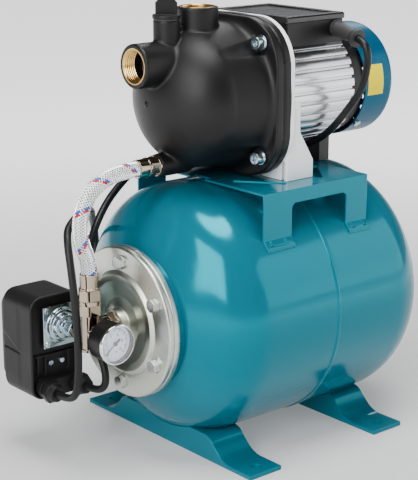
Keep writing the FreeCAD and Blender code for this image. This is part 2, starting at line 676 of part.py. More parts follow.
def tube_path(points):
    """Straight runs joined by tangent arcs; also gives each arc's radius."""
    spots = [V(*point) for point in points]
    edges, radii, here = [], [], spots[0]
    for before, corner, after in zip(spots, spots[1:], spots[2:]):
        into, out = (corner - before), (after - corner)
        shorter = min(into.Length, out.Length)
        into.normalize()
        out.normalize()
        turn = into.getAngle(out)
        reach = 0.45 * shorter
        radii.append(reach / math.tan(turn / 2))
        first, last = corner - into * reach, corner + out * reach
        bisector = (out - into)
        bisector.normalize()
        inside = radii[-1] * (1 / math.cos(turn / 2) - 1)
        edges.append(Part.LineSegment(here, first).toShape())
        edges.append(Part.Arc(first, corner + bisector * inside, last).toShape())
        here = last
    edges.append(Part.LineSegment(here, spots[-1]).toShape())
    return Part.Wire(edges), radii


def tube(points, radius, label):
    path, radii = tube_path(points)
    start = V(*points[0])
    direction = V(*points[1]) - start
    circle = Part.Wire([Part.makeCircle(radius, start, direction)])
    solid = path.makePipeShell([circle], True, False)
    expected = math.pi * radius ** 2 * path.Length
    print("%s: length %.0f, volume ratio %.4f, radii %s" % (
        label, path.Length, solid.Volume / expected, ", ".join("%.0f" % r for r in radii)))
    return solid


def build_hose():
    x, level = "manifold_x", (0, "outlet_z")
    face = "outlet_face_x"
    outlet = cut(fuse(rod(8, 22, (face + " - 2",) + level),
                      rod(10.6, 2, (face + " - 2",) + level),
                      rod(6.5, 14, (face + " - 16",) + level)),
                 rod(4.5, 50, (face + " - 20",) + level))
    upper_nut = cut(hexagon(18, 10, (face + " - 12",) + level), rod(6.5, 20, (face + " - 15",) + level))
    upper_ferrule = cut(fuse(rod(9.6, 14, (face + " - 26",) + level),
                             rod(10.4, 2, (face + " - 14",) + level)),
                        rod(6.5, 18, (face + " - 22",) + level))
    lower_ferrule = cut(fuse(rod(9.6, 16, (x, 0, 189), "Z"), rod(10.4, 2, (x, 0, 189), "Z")),
                        rod(6.5, 13, (x, 0, 186), "Z"))
    lower_nut = cut(fuse(hexagon(21, 11, (x, 0, 178), "Z"), rod(11.6, 5, (x, 0, 173), "Z")),
                    rod(6.5, 30, (x, 0, 170), "Z"))
    node("hose_fittings", collect(outlet, upper_nut, upper_ferrule, lower_ferrule, lower_nut))
    fixed_node("hose", tube(HOSE_ROUTE, size("hose_radius"), "hose"))


def build_gauge():
    x, z = "manifold_x", "side_port_z"
    front = "gauge_front_y"
    case = fuse(
        cut(rod("gauge_radius - 0.8", "gauge_depth", (x, front, z), "Y"),
            rod("gauge_radius - 2.2", "gauge_depth - 2", (x, "gauge_front_y - 0.1", z), "Y")),
        rod(4.5, 10, (x, "gauge_front_y + gauge_depth - 1", z), "Y"),
        hexagon(11, 3.8, (x, "gauge_front_y + gauge_depth", z), "Y"))
    node("gauge_case", cut(case, rod(1.5, 30, (x, "gauge_front_y + gauge_depth - 8", z), "Y")))
    node("gauge_bezel", cut(rod("gauge_radius", 4.5, (x, "gauge_front_y - 1", z), "Y"),
                            rod("gauge_radius - 0.8", 5, (x, "gauge_front_y + 0", z), "Y"),
                            rod("gauge_radius - 2.6", 5, (x, "gauge_front_y - 2", z), "Y")))
    node("gauge_lens", rod("gauge_radius - 2.3", 1.2, (x, "gauge_front_y", z), "Y"))
    node("gauge_dial", cut(rod("gauge_radius - 2.3", 1, (x, "gauge_front_y + 6", z), "Y"),
                           rod(1.5, 8, (x, "gauge_front_y + 2", z), "Y")))
    pointer = [rod(1.2, 8, (0, 0, 0), "Y"), rod(2.2, 1.2, (0, 0, 0), "Y"),
               block(14, 0.7, 0.9, (-14, 0.2, -0.45)), block(7, 0.7, 2.2, (0, 0.2, -1.1)),
               rod(2.4, 1, (0, 6.5, 0), "Y")]
    hub = (size("manifold_x"), size("gauge_front_y") + 3.4, size("side_port_z"))
    node("gauge_needle", placed(fuse(*pointer), hub, FreeCAD.Rotation(V(0, 1, 0), -37)))
    sector = common(ring(11.4, 8.8, 1, (x, "gauge_front_y + 10.1", "side_port_z - 14"), "Y"),
                    block(13, 3, 20, ("manifold_x - 1.2", "gauge_front_y + 9", "side_port_z - 9")))
    arm = block(2.4, 1, 10, ("manifold_x - 1.2", "gauge_front_y + 10.1", "side_port_z - 14"))
    node("gauge_sector", fuse(sector, arm, rod(1.6, 3, (x, "gauge_front_y + 10.1", "side_port_z - 14"), "Y")))


def rounded_panel(x0, x1, z0, z1, corner, y):
    """Rounded rectangle outline at depth y."""
    bend = corner * (1 - math.sqrt(0.5))
    return outline(
        "XZ", y, (x0 + corner, z0), (x1 - corner, z0), ((x1 - bend, z0 + bend), (x1, z0 + corner)),
        (x1, z1 - corner), ((x1 - bend, z1 - bend), (x1 - corner, z1)), (x0 + corner, z1),
        ((x0 + bend, z1 - bend), (x0, z1 - corner)), (x0, z0 + corner),
        ((x0 + bend, z0 + bend), (x0 + corner, z0)))


def loft(*sections):
    piece = doc.addObject("Part::Loft", "Loft")
    piece.Sections = list(sections)
    piece.Solid = True
    piece.Ruled = True
    return piece


GLAND_X = (-229, -192.5)
GLAND_Z = 73


def build_switch():
    face = size("switch_face_y")
    outer = loft(rounded_panel(-247, -183, 62, 174, 14, face - 2),
                 rounded_panel(-247, -184, 63, 173, 15, face + 50),
                 rounded_panel(-243, -189, 72, 168, 17, face + 60))
    inner = loft(rounded_panel(-244.5, -185.5, 64.5, 171.5, 11.5, face - 3),
                 rounded_panel(-244.5, -186.5, 65.5, 170.5, 12.5, face + 48),
                 rounded_panel(-240.5, -191.5, 74.5, 165.5, 14.5, face + 58))
    node("switch_cover", cut(outer, inner))
    plate = pushed(rounded_panel(-244, -186.4, 65.2, 170.8, 12, face + 4), (0, 1, 0), 3)
    ledge = pushed(rounded_panel(-241, -189, 65.2, 84, 9, face - 8), (0, 1, 0), 13)
    ribs = [block(1.6, 4, 22, (-238 + 9.4 * i, "switch_face_y", 88)) for i in range(6) if i not in (2, 3)]
    ribs.append(block(48, 4, 1.6, (-240, "switch_face_y", 108)))
    port = rod(9, 30, ("switch_x", "switch_face_y - 10", "switch_z"), "Y")
    holes = [rod(5.2, 30, (x, "switch_face_y - 20", GLAND_Z), "Y") for x in GLAND_X]
    node("switch_base", cut(fuse(plate, ledge, *ribs), port, *holes))

    x, z = "switch_x", "switch_z"
    plate = block(44.6, 1.8, 44.6, ("switch_x - 22.3", "switch_face_y - 1.8", "switch_z - 22.3"))
    corners = [(sx, sz) for sx in (-1, 1) for sz in (-1, 1)]
    flange = fuse(plate, taper(19, 17.5, 4, (x, "switch_face_y - 1.8", z), "-Y"),
                  taper(14.5, 12.5, 5, (x, "switch_face_y - 5.8", z), "-Y"),
                  rod(7, 6, (x, "switch_face_y - 10", z), "-Y"))
    bore = rod(17, 4, (x, "switch_face_y - 4", z), "Y")
    nut = hexagon(15, 10, (x, "switch_face_y - 16", z), "-Y")
    node("switch_flange", cut(fuse(flange, nut), bore, rod(3, 40, (x, "switch_face_y - 40", z), "Y")))
    screws = []
    for sx, sz in corners:
        spot = ("switch_x + %g" % (18.5 * sx), "switch_face_y - 1.8", "switch_z + %g" % (18.5 * sz))
        slot = block(0.8, 1.2, 8, (spot[0] + " - 0.4", "switch_face_y - 4.2", spot[2] + " - 4"))
        screws.append(cut(taper(3.6, 2.6, 2.2, spot, "-Y"), slot))
    for x_screw in (-220.5, -206.5):
        screws.append(taper(3.4, 2.6, 3, (x_screw, "switch_face_y + 4", 99), "-Y"))
    node("switch_screws", collect(*screws))
    glands = []
    for gland in GLAND_X:
        glands.append(cut(fuse(hexagon(21, 8, (gland, "switch_face_y - 16", GLAND_Z), "Y"),
                               taper(8, 10, 7, (gland, "switch_face_y - 23", GLAND_Z), "Y"),
                               rod(5.2, 20, (gland, "switch_face_y - 8", GLAND_Z), "Y")),
                          rod("cable_radius", 60, (gland, "switch_face_y - 30", GLAND_Z), "Y")))
    node("cable_glands", collect(*glands))

    lever_z = 112
    node("switch_lever", fuse(
        block(16, 1.5, 42, (-216, "switch_face_y + 18", lever_z)),
        rod(2, 25.5, (-222, "switch_face_y + 18.75", lever_z + 1)),
        rod(2.4, 4.4, (x, "switch_face_y + 13.6", z), "Y")))
    ears = []
    for left in (-222, -199.5):
        ear = block(3, 14, 8, (left, "switch_face_y + 8.5", lever_z - 3))
        ears.append(cut(ear, rod(2.05, 10, (left - 3, "switch_face_y + 18.75", lever_z + 1))))
    post = fuse(block(30, 2, 14, (-223, "switch_face_y + 7", lever_z - 6)), *ears)
    spring = cut(rod(6, 20, (x, "switch_face_y + 21.6", z), "Y"),
                 rod(4.4, 19, (x, "switch_face_y + 22.6", z), "Y"))
    node("switch_frame", collect(post, spring))


# ---------------------------------------------------------------- cables

MOTOR_LEAD = [
    (73.1, -95.2, 425.7), (71.8, -107, 422), (74, -109, 407), (79.5, -102, 394), (82, -96, 378),
    (81, -88, 364), (80, -76, 349), (75, -66, 334), (75, -52, 321), (75, -37, 311), (66, -10, 297),
    (60, 28, 292), (52, 62, 289), (34, 88, 288), (4, 95, 288), (-26, 93, 288.5), (-55, 84, 289),
    (-85, 74, 286), (-113, 64, 276), (-138, 54, 264), (-158, 44, 251), (-174, 36, 235), (-184, 31, 215),
    (-188, 29, 190), (-188, 28, 162), (-187.5, 24, 136), (-187.5, 12, 116), (-188.5, 0, 99), (-190.5, -4, 83),
    (-192, 8, 73.5), (-192.5, 27, 73)]
MAINS_LEAD = [
    (-229, 27, 73), (-229, 12, 73.5), (-229, -3, 79), (-230, -11, 95), (-230, -13, 125), (-231.5, -14, 160),
    (-234, -13, 197), (-233, -7, 222), (-230, 1, 239), (-222, 13, 250), (-209, 21, 256), (-195, 29, 259),
    (-178, 40, 258), (-160, 58, 252), (-143, 82, 238), (-120, 110, 218), (-101, 134, 188), (-88, 152, 152),
    (-78, 163, 112), (-66, 171, 74), (-50, 177, 38), (-28, 180, 13), (4, 179, 5), (42, 178.2, 4.3)]
COIL_CENTRE = (60, 222)
COIL_OUTER, COIL_INNER, COIL_HEIGHT = 48.5, 31.5, 17


def build_cables():
    radius = size("cable_radius")
    fixed_node("motor_lead", tube(MOTOR_LEAD, radius, "motor lead"))
    lead = tube(MAINS_LEAD, radius, "mains lead")
    fixed_node("mains_lead", lead)
    middle = V(*COIL_CENTRE, 0)
    disc = Part.makeCylinder(COIL_OUTER, COIL_HEIGHT, middle)
    coil = disc.cut(Part.makeCylinder(COIL_INNER, COIL_HEIGHT, middle)).cut(lead)
    fixed_node("mains_coil", coil)
    x, y, z = COIL_CENTRE[0] + 58, COIL_CENTRE[1] - 41, 17.6
    body = Part.makeCone(12, 17.5, 8, V(x, y, z), V(1, 0, 0)).fuse([
        Part.makeCylinder(17.5, 24, V(x + 8, y, z), V(1, 0, 0)),
        Part.makeCone(5, 8, 32, V(x - 30, y, z - 3.6), V(1, 0, 0.07))])
    pins = [Part.makeCylinder(2.4, 19, V(x + 32, y + side * 9.5, z), V(1, 0, 0)) for side in (-1, 1)]
    fixed_node("mains_plug", body.fuse(pins).cut(disc))


for build in (build_tank, build_flange, build_membrane, build_air_valve, build_feet, build_platform,
              build_casing, build_ejector, build_filler_plug, build_rotor, build_bearings, build_bracket,
              build_motor, build_fan_cover, build_terminal_box, build_manifold, build_hose, build_gauge,
              build_switch, build_cables):
    build()
doc.recompute()

failed = [piece.Label for piece in doc.Objects if {"Invalid", "Error"} & set(piece.State)]
for label, piece in NODES.items():
    shape = piece.Shape
    if shape.isNull() or not shape.isValid() or not shape.Solids:
        failed.append(label)
if failed:
    raise RuntimeError("failed: " + ", ".join(failed))
os.makedirs("parts", exist_ok=True)
for label, piece in NODES.items():
    piece.Shape.exportStep("parts/%s.step" % label)
print("%d nodes" % len(NODES))
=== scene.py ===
import json
import math

import bmesh
import bpy
import numpy as np
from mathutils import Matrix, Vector


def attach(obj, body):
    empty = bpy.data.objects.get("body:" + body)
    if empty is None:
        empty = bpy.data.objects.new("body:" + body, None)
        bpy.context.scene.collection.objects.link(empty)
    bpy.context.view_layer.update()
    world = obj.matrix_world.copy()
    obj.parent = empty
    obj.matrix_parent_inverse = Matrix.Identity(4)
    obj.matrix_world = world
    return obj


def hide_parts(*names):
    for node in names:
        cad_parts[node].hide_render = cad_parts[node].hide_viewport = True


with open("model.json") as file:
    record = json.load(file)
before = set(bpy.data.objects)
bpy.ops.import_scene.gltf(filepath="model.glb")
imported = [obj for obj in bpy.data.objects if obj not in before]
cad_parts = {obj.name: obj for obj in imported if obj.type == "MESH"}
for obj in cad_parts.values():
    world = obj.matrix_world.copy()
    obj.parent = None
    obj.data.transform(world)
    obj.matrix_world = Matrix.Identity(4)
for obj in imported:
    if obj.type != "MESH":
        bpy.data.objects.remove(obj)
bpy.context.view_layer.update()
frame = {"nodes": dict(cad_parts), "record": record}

# Looks of a domestic water booster set: a self-priming jet pump on a pressure vessel.
# Metres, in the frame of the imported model: +Z up, X along the vessel, gauge towards -Y.

NODES = frame["nodes"]
MM = 0.001
SCENE = bpy.context.scene

# Driving dimensions in mm, as in the CAD.
LEVEL = 145             # height of the vessel's axis
SHAFT = 368             # height of the pump's and motor's shaft
GAUGE_MIDDLE = (-206, 142)


# ---------------------------------------------------------------- camera, lights, floor

def make_camera():
    """The viewing angle: in front on the gauge's side, a little above."""
    azimuth, pitch, distance = math.radians(40.2), math.radians(15.4), 1.5133
    target = Vector((-0.0486, 0, 0.2119))
    level = math.cos(pitch)
    back = Vector((-math.sin(azimuth) * level, -math.cos(azimuth) * level, math.sin(pitch)))
    camera = bpy.data.objects.new("camera", bpy.data.cameras.new("camera"))
    camera.data.lens = 106.2
    camera.data.sensor_width = 36
    camera.data.clip_start, camera.data.clip_end = 0.1, 20
    camera.location = target + distance * back
    camera.rotation_mode = "QUATERNION"
    camera.rotation_quaternion = (-back).to_track_quat("-Z", "Y")
    SCENE.collection.objects.link(camera)
    SCENE.camera = camera


def softbox(name, place, aim, size, power, shape="RECTANGLE"):
    """An area light that faces a point."""
    light = bpy.data.lights.new(name, "AREA")
    light.shape = shape
    light.size, light.size_y = size
    light.energy = power
    lamp = bpy.data.objects.new(name, light)
    lamp.location = place
    lamp.rotation_mode = "QUATERNION"
    lamp.rotation_quaternion = (Vector(aim) - Vector(place)).to_track_quat("-Z", "Y")
    SCENE.collection.objects.link(lamp)


def mapped(owner, source, start, end, span=(0.0, 1.0), smooth=False):
    """A socket of a material or world that runs from start to end while its source runs over a span."""
    node = owner.node_tree.nodes.new("ShaderNodeMapRange")
    if smooth:
        node.interpolation_type = "SMOOTHSTEP"
    node.inputs["From Min"].default_value, node.inputs["From Max"].default_value = span
    node.inputs["To Min"].default_value, node.inputs["To Max"].default_value = start, end
    owner.node_tree.links.new(source, node.inputs["Value"])
    return node.outputs["Result"]


def new_mesh(name, verts, faces):
    mesh = bpy.data.meshes.new(name)
    mesh.from_pydata(verts, [], faces)
    return mesh


def make_floor():
    """A wide floor that grows lighter away from the part."""
    reach = 30.0
    corners = [(-reach, -reach, 0), (reach, -reach, 0), (reach, reach, 0), (-reach, reach, 0)]
    mesh = new_mesh("floor", corners, [(0, 1, 2, 3)])
    finish = bpy.data.materials.new("floor")
    finish.use_nodes = True
    nodes, links = finish.node_tree.nodes, finish.node_tree.links
    shader = nodes["Principled BSDF"]
    shader.inputs["Base Color"].default_value = (0.55, 0.55, 0.55, 1)
    shader.inputs["Roughness"].default_value = 0.75
    shader.inputs["Emission Color"].default_value = (1, 1, 1, 1)
    place = nodes.new("ShaderNodeTexCoord")
    away = nodes.new("ShaderNodeVectorMath")
    away.operation = "LENGTH"
    links.new(place.outputs["Object"], away.inputs[0])
    glow = mapped(finish, away.outputs["Value"], 0.22, 1.5, span=(0.25, 1.7), smooth=True)
    links.new(glow, shader.inputs["Emission Strength"])
    mesh.materials.append(finish)
    piece = bpy.data.objects.new("floor", mesh)
    SCENE.collection.objects.link(piece)


def make_sky():
    """Dim surroundings with a lighter band along the horizon."""
    world = bpy.data.worlds.new("studio")
    world.use_nodes = True
    nodes, links = world.node_tree.nodes, world.node_tree.links
    nodes["Background"].inputs["Color"].default_value = (0.8, 0.82, 0.84, 1)
    place = nodes.new("ShaderNodeTexCoord")
    parts = nodes.new("ShaderNodeSeparateXYZ")
    links.new(place.outputs["Generated"], parts.inputs["Vector"])
    strength = mapped(world, parts.outputs["Z"], 0.5, 0.14, span=(0.1, 0.24), smooth=True)
    links.new(strength, nodes["Background"].inputs["Strength"])
    SCENE.world = world


def make_studio():
    """Surroundings, floor and four soft lights."""
    make_sky()
    make_floor()
    middle = (-0.03, 0, 0.25)
    softbox("key", (-1.95, -0.75, 1.35), middle, (1.5, 1.7), 66)
    softbox("side", (1.5, -1.5, 0.88), middle, (1.5, 1.4), 12)
    softbox("top", (-0.12, -0.2, 2.1), middle, (1.35, 1.1), 50, "ELLIPSE")
    softbox("rim", (1.6, 1.3, 1.9), middle, (0.8, 1.0), 14)


# ---------------------------------------------------------------- materials

def surface(name, colour, roughness, metallic=0.0, specular=0.5, sheen=(1, 1, 1), glow=0.0, grain=400.0,
            stretch=(1, 1, 1), colour_change=0.08, rough_change=0.08, bump=0.02):
    """A principled material whose colour, gloss and relief vary with noise; bump is in mm."""
    material = bpy.data.materials.new(name)
    material.use_nodes = True
    nodes, links = material.node_tree.nodes, material.node_tree.links
    shader = nodes["Principled BSDF"]
    shader.inputs["Metallic"].default_value = metallic
    shader.inputs["Specular Tint"].default_value = (*sheen, 1)
    shader.inputs["Specular IOR Level"].default_value = specular
    # glow makes the surface emit its own colour: painted light from a part that is no lamp
    if glow:
        shader.inputs["Emission Color"].default_value = (*colour, 1)
        shader.inputs["Emission Strength"].default_value = glow

    place = nodes.new("ShaderNodeTexCoord")
    mapping = nodes.new("ShaderNodeMapping")
    mapping.inputs["Scale"].default_value = stretch
    links.new(place.outputs["Object"], mapping.inputs["Vector"])

    def noise(scale, detail):
        node = nodes.new("ShaderNodeTexNoise")
        node.inputs["Scale"].default_value = scale
        node.inputs["Detail"].default_value = detail
        links.new(mapping.outputs["Vector"], node.inputs["Vector"])
        return node.outputs["Fac"]

    fine, broad = noise(grain, 4), noise(14, 3)
    shade = nodes.new("ShaderNodeVectorMath")
    shade.operation = "SCALE"
    shade.inputs[0].default_value = colour
    links.new(mapped(material, fine, 1 - colour_change, 1 + colour_change), shade.inputs["Scale"])
    links.new(shade.outputs["Vector"], shader.inputs["Base Color"])
    smoothest = max(0.02, roughness - rough_change)
    gloss = mapped(material, broad, smoothest, roughness + rough_change, span=(0.3, 0.7))
    links.new(gloss, shader.inputs["Roughness"])
    if bump:
        relief = nodes.new("ShaderNodeBump")
        relief.inputs["Strength"].default_value = 1.0
        relief.inputs["Distance"].default_value = bump * MM
        links.new(fine, relief.inputs["Height"])
        links.new(relief.outputs["Normal"], shader.inputs["Normal"])
    return material


LOOKS = {
    "teal_enamel": dict(colour=(0.0, 0.112, 0.162), roughness=0.15, grain=160, colour_change=0.03,
                        rough_change=0.04, bump=0.05, sheen=(0.0, 0.82, 1.0), specular=1.0),
    "teal_cover": dict(colour=(0.0, 0.06, 0.125), roughness=0.32, grain=500, colour_change=0.04, bump=0.03,
                       sheen=(0.0, 0.75, 1.0)),
    "black_plastic": dict(colour=(0.0045, 0.004, 0.0045), roughness=0.42, grain=1100, bump=0.07,
                          specular=0.28),
    "box_plastic": dict(colour=(0.005, 0.0045, 0.005), roughness=0.33, grain=1200, bump=0.04, specular=0.3),
    "lid_plastic": dict(colour=(0.006, 0.0055, 0.006), roughness=0.24, grain=1200, bump=0.03, specular=0.6),
    "switch_plastic": dict(colour=(0.007, 0.0065, 0.007), roughness=0.42, grain=1500, bump=0.05,
                           specular=0.3),
    # The gauge dial glows a little so that it reads brighter: painted light
    "white_plastic": dict(colour=(0.74, 0.83, 1.0), roughness=0.4, colour_change=0.02, glow=0.35),
    "zinc": dict(colour=(0.62, 0.64, 0.62), roughness=0.28, metallic=1.0, grain=300, rough_change=0.1),
    "zinc_yellow": dict(colour=(0.62, 0.64, 0.57), roughness=0.33, metallic=1.0, grain=260, rough_change=0.1),
    # Darker, greener zinc for the flange's dished middle: a greener tone with painted shade in the recess
    "zinc_dish_tone_and_shade": dict(colour=(0.4, 0.44, 0.38), roughness=0.33, metallic=1.0, grain=260, rough_change=0.1),
    "zinc_blue": dict(colour=(0.55, 0.66, 0.73), roughness=0.2, metallic=1.0, grain=300, rough_change=0.08),
    "steel": dict(colour=(0.55, 0.55, 0.55), roughness=0.25, metallic=1.0, grain=900),
    "electrical_steel": dict(colour=(0.12, 0.11, 0.1), roughness=0.5, metallic=0.6, stretch=(30, 1, 1)),
    "copper": dict(colour=(0.6, 0.22, 0.09), roughness=0.3, metallic=1.0, stretch=(6, 1, 1)),
    "brass": dict(colour=(0.66, 0.43, 0.15), roughness=0.22, metallic=1.0, grain=900),
    "nickel": dict(colour=(0.44, 0.36, 0.28), roughness=0.1, metallic=1.0, grain=500, rough_change=0.04,
                   bump=0.01),
    "chrome": dict(colour=(0.85, 0.85, 0.86), roughness=0.1, metallic=1.0, bump=0.0),
    "cast_aluminium": dict(colour=(0.93, 0.94, 0.94), roughness=0.5, grain=1100, colour_change=0.25,
                           bump=0.1),
    "extruded_aluminium": dict(colour=(0.74, 0.76, 0.78), roughness=0.24, metallic=1.0, stretch=(0.06, 1, 1),
                               bump=0.03),
    "rubber": dict(colour=(0.02, 0.02, 0.02), roughness=0.55, grain=900, bump=0.05),
    "cable": dict(colour=(0.007, 0.007, 0.0075), roughness=0.42, grain=700, bump=0.03, specular=0.28),
    "braid": dict(colour=(0.96, 0.97, 0.98), roughness=0.26, metallic=0.6, grain=1500),
    "braid_red": dict(colour=(0.5, 0.008, 0.008), roughness=0.45, grain=1500),
    "braid_blue": dict(colour=(0.004, 0.1, 0.5), roughness=0.45, grain=1500),
    "hose_core": dict(colour=(0.004, 0.004, 0.004), roughness=0.6),
    "yellow_label": dict(colour=(0.88, 0.72, 0.0), roughness=0.5, colour_change=0.02, sheen=(1, 0.8, 0),
                         specular=0.1),
}


def glass():
    """Clear plastic, mostly see-through."""
    material = bpy.data.materials.new("clear_plastic")
    material.use_nodes = True
    shader = material.node_tree.nodes["Principled BSDF"]
    shader.inputs["Base Color"].default_value = (1, 1, 1, 1)
    shader.inputs["Roughness"].default_value = 0.04
    shader.inputs["Alpha"].default_value = 0.12
    return material


FINISH = {name: surface(name, **look) for name, look in LOOKS.items()}
FINISH["clear_plastic"] = glass()


def dress_nodes():
    """Give each CAD node the finish of its slot."""
    for part in frame["record"]["subparts"]:
        mesh = NODES[part["node"]].data
        mesh.materials.clear()
        mesh.materials.append(FINISH[part["material_slot"]])


# ---------------------------------------------------------------- pieces

THREAD_PITCH = 2.309    # of a G1 thread
EDGE_ANGLE = 28         # sharper edges of the CAD shapes are rounded


def add_piece(name, mesh, slot, *stands_for, body="frame", sharp=32, look=None):
    """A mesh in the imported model's frame, riding a body, in place of the named CAD nodes."""
    if not mesh.materials:
        mesh.materials.append(FINISH[look or slot])
    mesh.shade_smooth()
    mesh.set_sharp_from_angle(angle=math.radians(sharp))
    piece = bpy.data.objects.new(name, mesh)
    SCENE.collection.objects.link(piece)
    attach(piece, body)
    if stands_for:
        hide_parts(*stands_for)
    return piece


def slot_of(node):
    """The material slot that the record gives a node."""
    return next(part["material_slot"] for part in frame["record"]["subparts"] if part["node"] == node)


def body_of(node):
    """The moving body that a node belongs to."""
    bodies = frame["record"]["behaviour"]["bodies"]
    return next(body for body, members in bodies.items() if node in members)


def softened(node, width, segments=2, look=None):
    """The CAD shape with its edges rounded by a width in mm."""
    source = NODES[node]
    mesh = source.data.copy()
    mesh.transform(source.matrix_world)
    shape = bmesh.new()
    shape.from_mesh(mesh)
    bmesh.ops.remove_doubles(shape, verts=shape.verts, dist=1e-5)
    bmesh.ops.dissolve_limit(shape, angle_limit=math.radians(0.8), verts=shape.verts, edges=shape.edges)
    shape.to_mesh(mesh)
    shape.free()
    mesh.materials.clear()
    piece = add_piece(node + "_soft", mesh, slot_of(node), node, body=body_of(node), sharp=EDGE_ANGLE,
                      look=look)
    bevel = piece.modifiers.new("edges", "BEVEL")
    bevel.width = width * MM
    bevel.segments = segments
    bevel.limit_method = "ANGLE"
    bevel.angle_limit = math.radians(EDGE_ANGLE)
    bevel.use_clamp_overlap = False
    bevel.harden_normals = True
    return piece


def eased(profile, width):
    """Round the corners of a profile of (along, out) points."""
    points = [Vector(point) for point in profile]
    result = [points[0]]
    shortest, straightest = 0.02, 0.2
    for before, here, after in zip(points, points[1:], points[2:]):
        into, out = before - here, after - here
        reach = min(width, 0.45 * into.length, 0.45 * out.length)
        if reach < shortest or abs(into.angle(out) - math.pi) < straightest:
            result.append(here)
            continue
        first, last = here + into.normalized() * reach, here + out.normalized() * reach
        result += [first, (first + last + 2 * here) / 4, last]
    return result + [points[-1]]


def face_outward(mesh, merge=0.0):
    """Turn all faces outward, after merging points closer than a distance."""
    shape = bmesh.new()
    shape.from_mesh(mesh)
    if merge:
        bmesh.ops.remove_doubles(shape, verts=shape.verts, dist=merge)
    bmesh.ops.recalc_face_normals(shape, faces=shape.faces)
    shape.to_mesh(mesh)
    shape.free()


def turned_mesh(name, profile, start, axis, steps, ease):
    """Revolve (along, out) points in mm about an axis through start."""
    axis = Vector(axis).normalized()
    side = axis.orthogonal().normalized()
    other = axis.cross(side)
    points = eased(profile, ease) if ease else [Vector(point) for point in profile]
    verts, faces = [], []
    for along, out in points:
        for step in range(steps):
            turn = 2 * math.pi * step / steps
            spot = Vector(start) + axis * along + (side * math.cos(turn) + other * math.sin(turn)) * out
            verts.append(spot * MM)
    for row in range(len(points) - 1):
        for step in range(steps):
            after = (step + 1) % steps
            faces.append((row * steps + step, row * steps + after, (row + 1) * steps + after,
                          (row + 1) * steps + step))
    mesh = new_mesh(name, verts, faces)
    face_outward(mesh, 1e-7)
    return mesh


def turned(name, profile, start, axis, slot, *stands_for, steps=96, ease=0.3):
    """A fixed piece revolved about an axis."""
    mesh = turned_mesh(name, profile, start, axis, steps, ease)
    return add_piece(name, mesh, slot, *stands_for)


def threads(start, end, deep, shallow):
    """Profile points of a thread between two positions along its axis."""
    count = int(abs(end - start) / THREAD_PITCH)
    step = (end - start) / count
    points = []
    for i in range(count):
        points += [(start + step * (i + 0.12), shallow), (start + step * (i + 0.5), deep),
                   (start + step * (i + 0.62), deep), (start + step * (i + 0.98), shallow)]
    return points


# ---------------------------------------------------------------- moulded shapes

